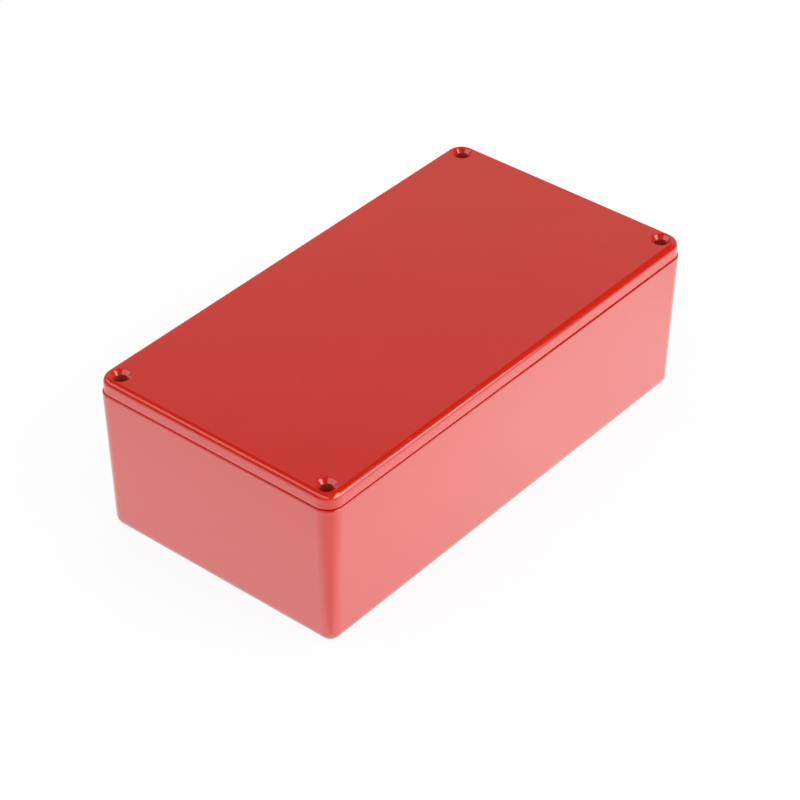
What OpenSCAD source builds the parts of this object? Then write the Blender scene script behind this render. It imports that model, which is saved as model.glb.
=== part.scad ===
// Die cast aluminium enclosure: a tapered base and a lap-jointed lid with four countersunk holes.
// All sizes are in millimetres. The origin is the centre of the underside, with +X along the length.

/* [Overall size] */
// Length over the rim of the base
length = 153; // [110:0.5:240]
// Width over the rim of the base
width = 82; // [60:0.5:160]
// Height of the base, from the underside to its rim
base_height = 45.4; // [28:0.1:80]
// Height of the lid above the rim of the base
lid_height = 4.6; // [4:0.1:8]

/* [Casting] */
// Thickness of the base's side walls at the rim
wall = 2.4; // [1.8:0.1:3.6]
// Thickness of the base's floor
floor_thickness = 2.4; // [1.6:0.1:5]
// Thickness of the lid's plate
plate_thickness = 2.4; // [1.8:0.1:3]
// Draft of the cast walls, in degrees
draft = 1.7; // [0.5:0.1:2]

/* [Edges] */
// Radius of the base's upright corners at the rim
base_corner = 4.7; // [3.8:0.1:7]
// Radius of the lid's upright corners at the rim
lid_corner = 4.9; // [3.8:0.1:7]
// Rounding of the base's underside edge
bottom_edge = 3.3; // [0.5:0.1:3.4]
// Rounding of the base's outer rim
rim_edge = 0.4; // [0.2:0.1:1.2]
// Rounding of the lid's top edge
top_edge = 1.75; // [0.5:0.05:2.4]
// Rounding of the lid's lower edge
lid_lower_edge = 0.3; // [0.2:0.1:0.8]
// Fillet between the cavity's walls and its floor
floor_fillet = 2; // [0.5:0.1:4]

/* [Lap joint] */
// How far the lid's side stands in from the base's side
lid_inset = 0.2; // [0:0.05:0.6]
// Height of the gap between the lid's skirt and the base's rim
seam_gap = 0.2; // [0.1:0.05:0.6]
// Diameter of the pads that carry the lid on the base's bosses
pad_diameter = 7.2; // [5:0.1:7.6]
// Height of the tongue that reaches into the base
tongue_height = 1.8; // [1:0.1:4]
// Thickness of the tongue
tongue_thickness = 1.6; // [1:0.1:2.5]
// Play between the tongue and the inside of the base
tongue_play = 0.25; // [0.1:0.05:0.5]
// Fillet in the corners of the pocket inside the tongue
pocket_fillet = 0.5; // [0.2:0.1:1]

/* [Screw bosses] */
// Distance of a screw's axis from the end of the base
screw_inset_x = 4.9; // [4.6:0.1:9]
// Distance of a screw's axis from the side of the base
screw_inset_y = 5.2; // [4.6:0.1:9]
// Diameter of a boss round its screw's axis
boss_diameter = 7.6; // [6:0.1:10]
// Fillet between a boss and the wall it grows from
boss_fillet = 1.8; // [0.5:0.1:2]
// Bore of a tapped hole
tapped_bore = 2.5; // [2:0.1:3.6]
// Depth of a tapped hole's full bore
tapped_depth = 14; // [6:0.5:20]
// Width of the chamfer at a tapped hole's mouth
tapped_chamfer = 0.4; // [0.1:0.1:0.8]

/* [Lid holes] */
// Bore of a lid hole
hole_bore = 3.6; // [3:0.1:4.4]
// Diameter of a countersink at the lid's top face
sink_diameter = 5.8; // [4.6:0.1:6.8]
// Included angle of a countersink, in degrees
sink_angle = 90; // [60:1:100]
// Rounding of a countersink's rim
sink_rim = 0.4; // [0.1:0.05:0.8]

/* [Hidden] */
$fn = 96;

// Paint colour of both castings
paint = [0.78, 0.22, 0.19];
// Point angle of the drill that makes a tapped hole
drill_point = 118;
// How far a cutter runs past the face that it opens
overrun = 1;
// How far a rounding stands proud of the faces that it blends, so that their outlines cross
proud = 0.0005;

rim_z = base_height;
total_height = base_height + lid_height;
plate_z = total_height - plate_thickness;
taper = tan(draft);
screw_x = length / 2 - screw_inset_x;
screw_y = width / 2 - screw_inset_y;
mouth_x = length / 2 - wall;
mouth_y = width / 2 - wall;
boss_r = boss_diameter / 2;

// Offset from the axis of the centre, at height z, of a rounding that touches a drafted side
function blend_offset(foot, z, radius) = foot - z * taper - radius / cos(draft);

// Largest rounding of a drafted side's far edge that keeps its centre off the axis
function far_limit(foot, height) = (foot - height * taper) / (1 / cos(draft) - taper);

// Point where a rounding about the given centre touches the drafted side
function on_side(centre, radius) = centre + radius * [cos(draft), sin(draft)];

// Section of a cast edge, from an axis out to its fullest reach near z = 0, narrowing upwards
module edge_section(reach, height, far_edge, near_edge) {
    foot = reach + near_edge * (taper + 1 / cos(draft) - 1);
    far_r = min(far_edge, far_limit(foot, height));
    far = [blend_offset(foot, height - far_r, far_r), height - far_r];
    near = [reach - near_edge, near_edge];
    polygon([
        [0, 0], [near.x, 0], on_side(near, near_edge),
        on_side(far, far_r), [far.x, height], [0, height]
    ]);
    intersection() {
        square([reach + overrun, height]);
        union() {
            translate(far) circle(far_r + proud);
            if (near_edge > 0) translate(near) circle(near_edge + proud);
        }
    }
}

// Section right across a casting whose edges turn about axes at the given distance from the middle
module full_section(core, reach, height, far_edge, near_edge)
    for (side = [0, 1])
        mirror([side, 0]) {
            square([core, height]);
            translate([core, 0]) edge_section(reach, height, far_edge, near_edge);
        }

// Prism along X of a section right across a casting's width
module prism_x(span, core, reach, height, far_edge, near_edge)
    rotate([90, 0, 90])
        linear_extrude(span, center = true)
            full_section(core, reach, height, far_edge, near_edge);

// Prism along Y of a section right across a casting's length
module prism_y(span, core, reach, height, far_edge, near_edge)
    rotate([90, 0, 0])
        linear_extrude(span, center = true)
            full_section(core, reach, height, far_edge, near_edge);

// Drafted block with round upright corners, widest at z = 0 and narrowing upwards
module cast_form(half_x, half_y, corner, height, far_edge, near_edge) {
    core_x = half_x - corner;
    core_y = half_y - corner;
    prism_x(2 * core_x, core_y, corner, height, far_edge, near_edge);
    prism_y(2 * core_y, core_x, corner, height, far_edge, near_edge);
    for (quarter = [0:3])
        translate([core_x * sign(cos(45 + 90 * quarter)), core_y * sign(sin(45 + 90 * quarter))])
            rotate(90 * quarter)
                rotate_extrude(angle = 90)
                    edge_section(corner, height, far_edge, near_edge);
}

// Repeats its children at the four screw axes, each mirrored towards its own corner
module at_screws()
    for (mx = [0, 1], my = [0, 1])
        mirror([mx, 0, 0])
            mirror([0, my, 0])
                translate([screw_x, screw_y])
                    children();

// Plan of a concave fillet in the corner at the origin, between faces towards +X and +Y
module fillet_plan(radius)
    if (radius > 0)
        translate([-radius, -radius])
            difference() {
                square(2 * radius);
                circle(radius + proud);
            }

// Plan of a boss that fills its corner towards +X and +Y, grown by a margin about its screw's axis
module boss_plan(margin, fillet) {
    round_r = boss_r + margin;
    to_wall_x = mouth_x - screw_x - margin;
    to_wall_y = mouth_y - screw_y - margin;
    circle(round_r);
    translate([0, -round_r]) square([screw_inset_x, round_r + screw_inset_y]);
    translate([-round_r, 0]) square([round_r + screw_inset_x, screw_inset_y]);
    translate([-round_r, to_wall_y]) fillet_plan(min(fillet, to_wall_y));
    translate([to_wall_x, -round_r]) fillet_plan(min(fillet, to_wall_x));
}

// Plan of the base's mouth inside its walls and bosses, drawn in by a margin
module mouth_plan(margin, fillet)
    difference() {
        square([2 * (mouth_x - margin), 2 * (mouth_y - margin)], center = true);
        at_screws() boss_plan(margin, fillet);
    }

// Space inside the base, with the bosses left standing in its corners
module cavity() {
    depth = base_height - floor_thickness + overrun;
    edge = floor_fillet + depth * taper;
    core_x = mouth_x + overrun * taper - edge;
    core_y = mouth_y + overrun * taper - edge;
    difference() {
        translate([0, 0, rim_z + overrun])
            mirror([0, 0, 1])
                intersection() {
                    prism_x(length, core_y, edge, depth, floor_fillet, 0);
                    prism_y(width, core_x, edge, depth, floor_fillet, 0);
                }
        at_screws()
            linear_extrude(rim_z)
                boss_plan(0, boss_fillet);
    }
}

// Cutter for a blind tapped hole, with its drill point and the chamfer at its mouth
module tapped_hole() {
    bore_r = tapped_bore / 2;
    mouth_r = bore_r + tapped_chamfer;
    point = bore_r / tan(drill_point / 2);
    rotate_extrude()
        polygon([
            [0, -tapped_depth - point], [bore_r, -tapped_depth], [bore_r, -tapped_chamfer],
            [mouth_r, 0], [mouth_r, overrun], [0, overrun]
        ]);
}

// Cutter for a countersunk lid hole, down from the lid's top face at z = 0
module countersunk_hole() {
    bore_r = hole_bore / 2;
    sink_r = sink_diameter / 2;
    slope = sink_angle / 2;
    sink_depth = (sink_r - bore_r) / tan(slope);
    rim_run = sink_rim * tan(45 - slope / 2);
    rim_centre = [sink_r + rim_run, -sink_rim];
    rotate_extrude()
        difference() {
            polygon([
                [0, -lid_height - overrun], [bore_r, -lid_height - overrun], [bore_r, -sink_depth],
                [sink_r, 0] - rim_run * [sin(slope), cos(slope)], rim_centre,
                [rim_centre.x, overrun], [0, overrun]
            ]);
            translate(rim_centre) circle(sink_rim + proud);
        }
}

// Cast base: drafted tray with a boss and a tapped hole in each corner
module base()
    color(paint)
        difference() {
            translate([0, 0, rim_z])
                mirror([0, 0, 1])
                    cast_form(length / 2, width / 2, base_corner, base_height, bottom_edge, rim_edge);
            cavity();
            translate([0, 0, rim_z]) at_screws() tapped_hole();
        }

// Cast lid: plate with a skirt, a pad that lands on each boss and a tongue that reaches into the base
module lid()
    color(paint)
        difference() {
            union() {
                translate([0, 0, rim_z + seam_gap])
                    cast_form(
                        length / 2 - lid_inset, width / 2 - lid_inset, lid_corner,
                        lid_height - seam_gap, top_edge, lid_lower_edge
                    );
                translate([0, 0, rim_z]) at_screws() cylinder(seam_gap + overrun, d = pad_diameter);
                translate([0, 0, rim_z - tongue_height])
                    linear_extrude(tongue_height + overrun)
                        mouth_plan(tongue_play, boss_fillet - tongue_play);
            }
            translate([0, 0, rim_z - tongue_height - overrun])
                linear_extrude(plate_z - rim_z + tongue_height + overrun)
                    mouth_plan(tongue_play + tongue_thickness, pocket_fillet);
            translate([0, 0, total_height]) at_screws() countersunk_hole();
        }

base();
lid();
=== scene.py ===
"""Dresses and lights a red painted die cast enclosure, seen from above its front corner."""

import math

import bpy
from mathutils import Matrix, Quaternion, Vector


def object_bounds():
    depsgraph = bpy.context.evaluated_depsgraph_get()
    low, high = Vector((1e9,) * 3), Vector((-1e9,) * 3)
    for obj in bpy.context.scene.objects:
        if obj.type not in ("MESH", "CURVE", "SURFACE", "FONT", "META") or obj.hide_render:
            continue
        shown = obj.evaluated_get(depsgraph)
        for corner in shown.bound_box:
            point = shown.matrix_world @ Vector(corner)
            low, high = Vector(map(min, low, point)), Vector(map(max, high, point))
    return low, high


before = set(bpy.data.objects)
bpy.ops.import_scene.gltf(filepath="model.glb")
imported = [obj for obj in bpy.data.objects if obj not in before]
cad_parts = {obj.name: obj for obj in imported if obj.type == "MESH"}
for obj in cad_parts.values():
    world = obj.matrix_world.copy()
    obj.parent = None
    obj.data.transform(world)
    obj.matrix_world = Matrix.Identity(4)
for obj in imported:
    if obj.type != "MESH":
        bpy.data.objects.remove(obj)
cad_low, cad_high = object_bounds()

# Sizes of the castings. All lengths are in metres, and angles in degrees, unless a name says otherwise.
WALL = 0.0024
FLOOR_THICKNESS = 0.0024
PLATE_THICKNESS = 0.0024
SCREW_INSET_X = 0.0049
SCREW_INSET_Y = 0.0052

# Axes that count for a distance seen from above
IN_PLAN = (1.0, 1.0, 0.0)

# Where the paint ends: its reach round a screw's axis, its depth in a lid hole, and its soft edge
HOLE_REACH = 0.0032
HOLE_PAINT_DEPTH = 0.0042
MASK_EDGE = 0.0003

# Red stove paint, with a slow change of shade, a patchy gloss and orange peel
PAINT_RED = (0.66, 0.013, 0.002)
PAINT_DEEP = (0.62, 0.011, 0.0015)
SHADE_SIZE = 0.03
PAINT_ROUGHNESS = 0.14
PATCH_SIZE = 0.0048
PATCH_SPREAD = 0.06
PAINT_IOR = 2.0
COAT_IOR = 1.8
COAT_ROUGHNESS = 0.07
PEEL_SIZE = 0.0016
PEEL_HEIGHT = 0.0000012

# Painted shade in the lid's holes, a darker, duller red: the depths below the top where it starts, is
# full and ends
PAINT_HOLE_SHADE = (0.56, 0.034, 0.026)
HOLE_SHADE_START, HOLE_SHADE_FULL, HOLE_SHADE_END = 0.0005, 0.0013, 0.006

# Dust nibs in the paint: one in a small share of the cells of a loose grid
NIB_SPACING = 0.004
NIB_SHARE = 0.07
NIB_SIZE = 0.00045
NIB_HEIGHT = 0.00004
NIB_PALE = (0.72, 0.07, 0.055)

# Bare cast aluminium inside
METAL_LIGHT = (0.62, 0.62, 0.61)
METAL_DARK = (0.44, 0.44, 0.44)
METAL_ROUGHNESS = 0.5
GRAIN_SIZE = 0.0005
GRAIN_DETAIL = 4.0
GRAIN_HEIGHT = 0.00001

# Camera, from a fit to the photograph, with its lens and sensor in millimetres
CAMERA_AZIMUTH = -140.20
CAMERA_ELEVATION = 37.03
CAMERA_DISTANCE = 0.7720
CAMERA_LENS = 125.22
SENSOR_WIDTH = 36.0
CAMERA_CLIP = (0.01, 100.0)
AIM_DROP = 0.00588

# White floor, and the share of it that glows by itself where it is seen and where it only lights
FLOOR_SIZE = 40.0
FLOOR_GAP = 0.00005
FLOOR_WHITE = (0.97, 0.97, 0.97)
FLOOR_SHOWN = 0.9
FLOOR_GLOW = 0.5
WHITE = (1.0, 1.0, 1.0)

# Pool of light on the floor, as the castings mirror it
POOL_FAR = (0.3, 0.3, 0.3)
FAR_START, FAR_END = 0.02, 0.16
POOL_NEAR = (1.0, 0.99, 0.96)
POOL_LEFT = (0.74, 0.74, 0.735)
LEFT_START, LEFT_END = 0.03, -0.09
POOL_FRONT = (0.6, 0.6, 0.6)
FRONT_WEDGE = 90

# Room: its even light, and the dark room with a pale sweep that the castings mirror
ROOM_AROUND = (1.15, 1.15, 1.15)
ROOM_ABOVE = (0.72, 0.72, 0.72)
ROOM_LEAN = 0.12
LEAN_AZIMUTH = -90
ROOM_DARK = (0.005, 0.005, 0.005)
SWEEP_LOW = (0.1, 0.1, 0.1)
SWEEP_HIGH = (0.27, 0.25, 0.238)
SWEEP_FULL, SWEEP_END = 30, 50
SWEEP_SIDE, SWEEP_MIDDLE = 0.2, 0.8

# Softboxes: low and high on the right, and a wide one on the left
WATTS_PER_RADIANCE = 4.0
SOFTBOX_DISTANCE = 1.0
SOFTBOXES = {
    "right_softbox": dict(azimuth=-78.5, elevation=14, width=1.06, height=0.48, radiance=1.2),
    "high_softbox": dict(azimuth=-76, elevation=37, width=0.7, height=0.46, radiance=1.1, roll=35),
    "left_softbox": dict(azimuth=162, elevation=43, width=3.0, height=0.52, radiance=0.46),
}


class Nodes:
    """Makes and links the nodes of one material, or of the world."""

    def __init__(self, owner):
        owner.use_nodes = True
        self.tree = owner.node_tree
        self.tree.nodes.clear()

    def feed(self, socket, value):
        """Links a socket to another one, or sets it to a plain value."""
        if isinstance(value, bpy.types.NodeSocket):
            self.tree.links.new(value, socket)
        elif socket.type == "RGBA":
            socket.default_value = (*value, 1.0)
        else:
            socket.default_value = value

    def add(self, kind, inputs, **settings):
        """A new node with its settings, and with its inputs fed by name or number."""
        made = self.tree.nodes.new(kind)
        for name, value in settings.items():
            setattr(made, name, value)
        for key, value in inputs.items():
            self.feed(made.inputs[key], value)
        return made

    def math(self, operation, *values):
        """Arithmetic on numbers."""
        made = self.add("ShaderNodeMath", dict(enumerate(values)), operation=operation)
        return made.outputs[0]

    def vector(self, operation, *values):
        """Arithmetic on vectors that gives a vector."""
        made = self.add("ShaderNodeVectorMath", dict(enumerate(values)), operation=operation)
        return made.outputs["Vector"]

    def measure(self, operation, *values):
        """Arithmetic on vectors that gives a number."""
        made = self.add("ShaderNodeVectorMath", dict(enumerate(values)), operation=operation)
        return made.outputs["Value"]

    def split(self, vector):
        """The X, Y and Z of a vector."""
        return self.add("ShaderNodeSeparateXYZ", {"Vector": vector}).outputs

    def ramp(self, value, low, high, shape="LINEAR"):
        """A straight rise from 0 at low to 1 at high."""
        inputs = {"Value": value, "From Min": low, "From Max": high}
        made = self.add("ShaderNodeMapRange", inputs, interpolation_type=shape)
        return made.outputs["Result"]

    def between(self, value, low, high):
        """A smooth rise from 0 at low to 1 at high."""
        return self.ramp(value, low, high, "SMOOTHSTEP")

    def mix(self, share, first, second):
        """A blend of two colours."""
        made = self.add("ShaderNodeMix", {}, data_type="RGBA")
        sockets = {socket.identifier: socket for socket in (*made.inputs, *made.outputs)}
        self.feed(sockets["Factor_Float"], share)
        self.feed(sockets["A_Color"], first)
        self.feed(sockets["B_Color"], second)
        return sockets["Result_Color"]

    def blend(self, share, first, second):
        """A blend of two shaders."""
        inputs = {0: share, 1: first.outputs[0], 2: second.outputs[0]}
        return self.add("ShaderNodeMixShader", inputs)

    def noise(self, place, size, detail=2.0):
        """Soft random patches of about the given size."""
        inputs = {"Vector": place, "Scale": 1.0 / size, "Detail": detail}
        return self.add("ShaderNodeTexNoise", inputs).outputs["Fac"]

    def finish(self, shader, output="ShaderNodeOutputMaterial"):
        """Links the shader to the tree's output."""
        self.add(output, {"Surface": shader.outputs[0]})


def direction(azimuth, elevation=0.0):
    """Unit vector towards a compass angle from +X and a height above the horizon, in degrees."""
    a, e = math.radians(azimuth), math.radians(elevation)
    return Vector((math.cos(a) * math.cos(e), math.sin(a) * math.cos(e), math.sin(e)))


def off_screw(nodes, place):
    """Where a point lies in plan from the nearest screw's axis, with +X and +Y towards the corner."""
    screw = (cad_high.x - SCREW_INSET_X, cad_high.y - SCREW_INSET_Y, 0.0)
    offset = nodes.vector("SUBTRACT", nodes.vector("ABSOLUTE", place), screw)
    return nodes.vector("MULTIPLY", offset, IN_PLAN)


def hole_share(nodes, place):
    """1 near a screw's axis, 0 away from it."""
    distance = nodes.measure("LENGTH", off_screw(nodes, place))
    return nodes.between(distance, HOLE_REACH + MASK_EDGE, HOLE_REACH)


def bare_share(nodes, place):
    """How bare the metal is: 0 on the painted outside, 1 in the cavity and below the lid's holes."""
    mouth_x, mouth_y = cad_high.x - WALL, cad_high.y - WALL
    xyz = nodes.split(nodes.vector("ABSOLUTE", place))
    to_corner = nodes.measure("DOT_PRODUCT", off_screw(nodes, place), IN_PLAN)
    in_hole = hole_share(nodes, place)
    pocket_top = cad_high.z - PLATE_THICKNESS + MASK_EDGE
    hole_end = cad_high.z - HOLE_PAINT_DEPTH
    paint_end = nodes.math("MULTIPLY_ADD", in_hole, hole_end - pocket_top, pocket_top)
    ragged = nodes.math("MULTIPLY_ADD", nodes.noise(place, WALL), MASK_EDGE, xyz["Z"])
    limits = (
        nodes.between(xyz["Y"], mouth_y + MASK_EDGE, mouth_y),
        nodes.between(xyz["Z"], FLOOR_THICKNESS - 2 * MASK_EDGE, FLOOR_THICKNESS - MASK_EDGE),
        nodes.between(nodes.math("SUBTRACT", ragged, paint_end), MASK_EDGE, 0.0),
        nodes.between(to_corner, HOLE_REACH + MASK_EDGE, HOLE_REACH),
    )
    share = nodes.between(xyz["X"], mouth_x + MASK_EDGE, mouth_x)
    for limit in limits:
        share = nodes.math("MULTIPLY", share, limit)
    return share


def dust_nibs(nodes, place):
    """A few small specks of dust under the paint: 1 in the middle of a speck, 0 off it."""
    cells = nodes.add("ShaderNodeTexVoronoi", {"Vector": place, "Scale": 1.0 / NIB_SPACING})
    distance = nodes.math("MULTIPLY", cells.outputs["Distance"], NIB_SPACING)
    speck = nodes.between(distance, NIB_SIZE, 0.0)
    drawn = nodes.add("ShaderNodeSeparateColor", {"Color": cells.outputs["Color"]}).outputs["Red"]
    return nodes.math("MULTIPLY", speck, nodes.math("LESS_THAN", drawn, NIB_SHARE))


def hole_shade_share(nodes, place):
    """How much painted shade darkens the paint: 1 deep in the lid's holes, where little light reaches,
    and 0 elsewhere.
    """
    depth = nodes.math("SUBTRACT", cad_high.z, nodes.split(place)["Z"])
    in_lid = nodes.math("LESS_THAN", depth, HOLE_SHADE_END)
    deep_shade = nodes.math("MULTIPLY", nodes.between(depth, HOLE_SHADE_START, HOLE_SHADE_FULL), in_lid)
    return nodes.math("MULTIPLY", hole_share(nodes, place), deep_shade)


def painted_casting():
    """Glossy red paint outside, with painted shade deep in the lid's holes, and bare cast metal inside.
    """
    material = bpy.data.materials.new("painted_casting")
    nodes = Nodes(material)
    place = nodes.add("ShaderNodeTexCoord", {}).outputs["Object"]
    bare = bare_share(nodes, place)
    painted = nodes.math("SUBTRACT", 1.0, bare)
    nibs = dust_nibs(nodes, place)
    grain = nodes.noise(place, GRAIN_SIZE, GRAIN_DETAIL)

    shade = nodes.mix(nodes.noise(place, SHADE_SIZE), PAINT_DEEP, PAINT_RED)
    # The darker, duller red deep in the lid's holes is painted shade, not a change in the paint
    paint = nodes.mix(hole_shade_share(nodes, place), nodes.mix(nibs, shade, NIB_PALE), PAINT_HOLE_SHADE)
    metal = nodes.mix(grain, METAL_DARK, METAL_LIGHT)

    patches = nodes.noise(place, PATCH_SIZE)
    smoothest = PAINT_ROUGHNESS - PATCH_SPREAD / 2
    paint_rough = nodes.math("MULTIPLY_ADD", patches, PATCH_SPREAD, smoothest)
    rough = nodes.math("MULTIPLY_ADD", bare, METAL_ROUGHNESS - PAINT_ROUGHNESS, paint_rough)

    peel = nodes.math("MULTIPLY", nodes.noise(place, PEEL_SIZE), PEEL_HEIGHT)
    paint_height = nodes.math("MULTIPLY_ADD", nibs, NIB_HEIGHT, peel)
    metal_height = nodes.math("MULTIPLY", grain, GRAIN_HEIGHT)
    height = nodes.math(
        "ADD",
        nodes.math("MULTIPLY", metal_height, bare),
        nodes.math("MULTIPLY", paint_height, painted),
    )
    bump = nodes.add("ShaderNodeBump", {"Height": height, "Strength": 1.0, "Distance": 1.0})

    nodes.finish(nodes.add("ShaderNodeBsdfPrincipled", {
        "Base Color": nodes.mix(bare, paint, metal),
        "Metallic": bare,
        "Roughness": rough,
        "IOR": PAINT_IOR,
        "Coat Weight": painted,
        "Coat Roughness": COAT_ROUGHNESS,
        "Coat IOR": COAT_IOR,
        "Normal": bump.outputs["Normal"],
        "Coat Normal": bump.outputs["Normal"],
    }))
    return material


def dress(node, material):
    """Gives a casting its finish in place of the plain material that it came with."""
    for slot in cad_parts[node].material_slots:
        slot.link = "OBJECT"
        slot.material = material


def floor_pool(nodes, place):
    """The floor's own light, which falls off away from the object, to its left and in front of it."""
    half = (cad_high - cad_low) / 2
    xyz = nodes.split(place)
    beyond_x = nodes.math("SUBTRACT", nodes.math("ABSOLUTE", xyz["X"]), half.x)
    beyond_y = nodes.math("SUBTRACT", nodes.math("ABSOLUTE", xyz["Y"]), half.y)
    away = nodes.math("MAXIMUM", beyond_x, beyond_y)

    front_corner = Vector((cad_low.x, cad_low.y, 0.0))
    off_corner = nodes.vector("SUBTRACT", place, front_corner)
    forward = nodes.measure("DOT_PRODUCT", off_corner, direction(CAMERA_AZIMUTH))
    sideways = nodes.measure("DOT_PRODUCT", off_corner, direction(CAMERA_AZIMUTH + 90))
    turned = nodes.math("ARCTAN2", nodes.math("ABSOLUTE", sideways), forward)

    far = nodes.mix(nodes.ramp(away, FAR_START, FAR_END), WHITE, POOL_FAR)
    left = nodes.mix(nodes.ramp(xyz["X"], LEFT_START, LEFT_END), POOL_NEAR, POOL_LEFT)
    wedge = nodes.between(turned, math.radians(FRONT_WEDGE), 0.0)
    front = nodes.mix(wedge, WHITE, POOL_FRONT)
    return nodes.vector("MULTIPLY", nodes.vector("MULTIPLY", far, left), front)


def studio_floor():
    """White floor that keeps a faint shadow of the object."""
    mesh = bpy.data.meshes.new("floor")
    half = FLOOR_SIZE / 2
    z = cad_low.z - FLOOR_GAP
    corners = [(-half, -half, z), (half, -half, z), (half, half, z), (-half, half, z)]
    mesh.from_pydata(corners, [], [(0, 1, 2, 3)])
    floor = bpy.data.objects.new("floor", mesh)
    bpy.context.scene.collection.objects.link(floor)

    material = bpy.data.materials.new("floor_white")
    nodes = Nodes(material)
    path = nodes.add("ShaderNodeLightPath", {}).outputs
    place = nodes.add("ShaderNodeTexCoord", {}).outputs["Object"]
    mirrored = nodes.math("MAXIMUM", path["Is Glossy Ray"], path["Is Transmission Ray"])
    seen = nodes.math("MAXIMUM", path["Is Camera Ray"], mirrored)
    share = nodes.math("MULTIPLY_ADD", seen, FLOOR_SHOWN - FLOOR_GLOW, FLOOR_GLOW)
    colour = nodes.mix(mirrored, WHITE, floor_pool(nodes, place))
    lit = nodes.add("ShaderNodeBsdfDiffuse", {"Color": FLOOR_WHITE})
    glow = nodes.add("ShaderNodeEmission", {"Color": colour, "Strength": 1.0})
    nodes.finish(nodes.blend(share, lit, glow))
    mesh.materials.append(material)


def studio_world():
    """Even room light, white to the camera, and a dark room with a pale sweep in reflections."""
    world = bpy.data.worlds.new("studio")
    bpy.context.scene.world = world
    nodes = Nodes(world)
    path = nodes.add("ShaderNodeLightPath", {}).outputs
    towards = nodes.add("ShaderNodeTexCoord", {}).outputs["Generated"]
    height = nodes.split(towards)["Z"]

    behind = nodes.measure("DOT_PRODUCT", towards, direction(CAMERA_AZIMUTH + 180))
    full, end = math.sin(math.radians(SWEEP_FULL)), math.sin(math.radians(SWEEP_END))
    below_end = nodes.between(height, end, full)
    sweep = nodes.math("MULTIPLY", below_end, nodes.between(behind, SWEEP_SIDE, SWEEP_MIDDLE))
    pale = nodes.mix(nodes.between(height, 0.0, full), SWEEP_LOW, SWEEP_HIGH)
    mirrored = nodes.mix(sweep, ROOM_DARK, pale)

    leaning = nodes.measure("DOT_PRODUCT", towards, direction(LEAN_AZIMUTH))
    lean = nodes.math("MULTIPLY_ADD", leaning, ROOM_LEAN, 1.0)
    around = nodes.mix(height, ROOM_AROUND, ROOM_ABOVE)

    even = nodes.add("ShaderNodeBackground", {"Color": around, "Strength": lean})
    room = nodes.add("ShaderNodeBackground", {"Color": mirrored, "Strength": 1.0})
    white = nodes.add("ShaderNodeBackground", {"Color": WHITE, "Strength": 1.0})
    indoors = nodes.blend(path["Is Glossy Ray"], even, room)
    nodes.finish(nodes.blend(path["Is Camera Ray"], indoors, white), "ShaderNodeOutputWorld")


def softbox(name, azimuth, elevation, width, height, radiance, roll=0.0):
    """A rectangular lamp that faces the object, as bright as the given radiance."""
    lamp = bpy.data.lights.new(name, "AREA")
    lamp.shape = "RECTANGLE"
    lamp.size, lamp.size_y = width, height
    lamp.energy = radiance * width * height * WATTS_PER_RADIANCE
    holder = bpy.data.objects.new(name, lamp)
    towards = direction(azimuth, elevation)
    turn = Quaternion((0.0, 0.0, 1.0), math.radians(roll))
    holder.location = (cad_low + cad_high) / 2 + towards * SOFTBOX_DISTANCE
    holder.rotation_mode = "QUATERNION"
    holder.rotation_quaternion = towards.to_track_quat("Z", "Y") @ turn
    bpy.context.scene.collection.objects.link(holder)


def photo_camera():
    """Camera at the photograph's viewing angle."""
    data = bpy.data.cameras.new("camera")
    data.sensor_width = SENSOR_WIDTH
    data.lens = CAMERA_LENS
    data.clip_start, data.clip_end = CAMERA_CLIP
    back = direction(CAMERA_AZIMUTH, CAMERA_ELEVATION)
    right = Vector((0.0, 0.0, 1.0)).cross(back).normalized()
    up = back.cross(right)
    eye = (cad_low + cad_high) / 2 - up * AIM_DROP + back * CAMERA_DISTANCE
    axes = Matrix((right, up, back)).transposed().to_4x4()
    camera = bpy.data.objects.new("camera", data)
    camera.matrix_world = Matrix.Translation(eye) @ axes
    bpy.context.scene.collection.objects.link(camera)
    bpy.context.scene.camera = camera


finish = painted_casting()
for node in ("base", "lid"):
    dress(node, finish)
photo_camera()
studio_floor()
studio_world()
for name, values in SOFTBOXES.items():
    softbox(name, **values)
bpy.context.scene.view_settings.view_transform = "Standard"
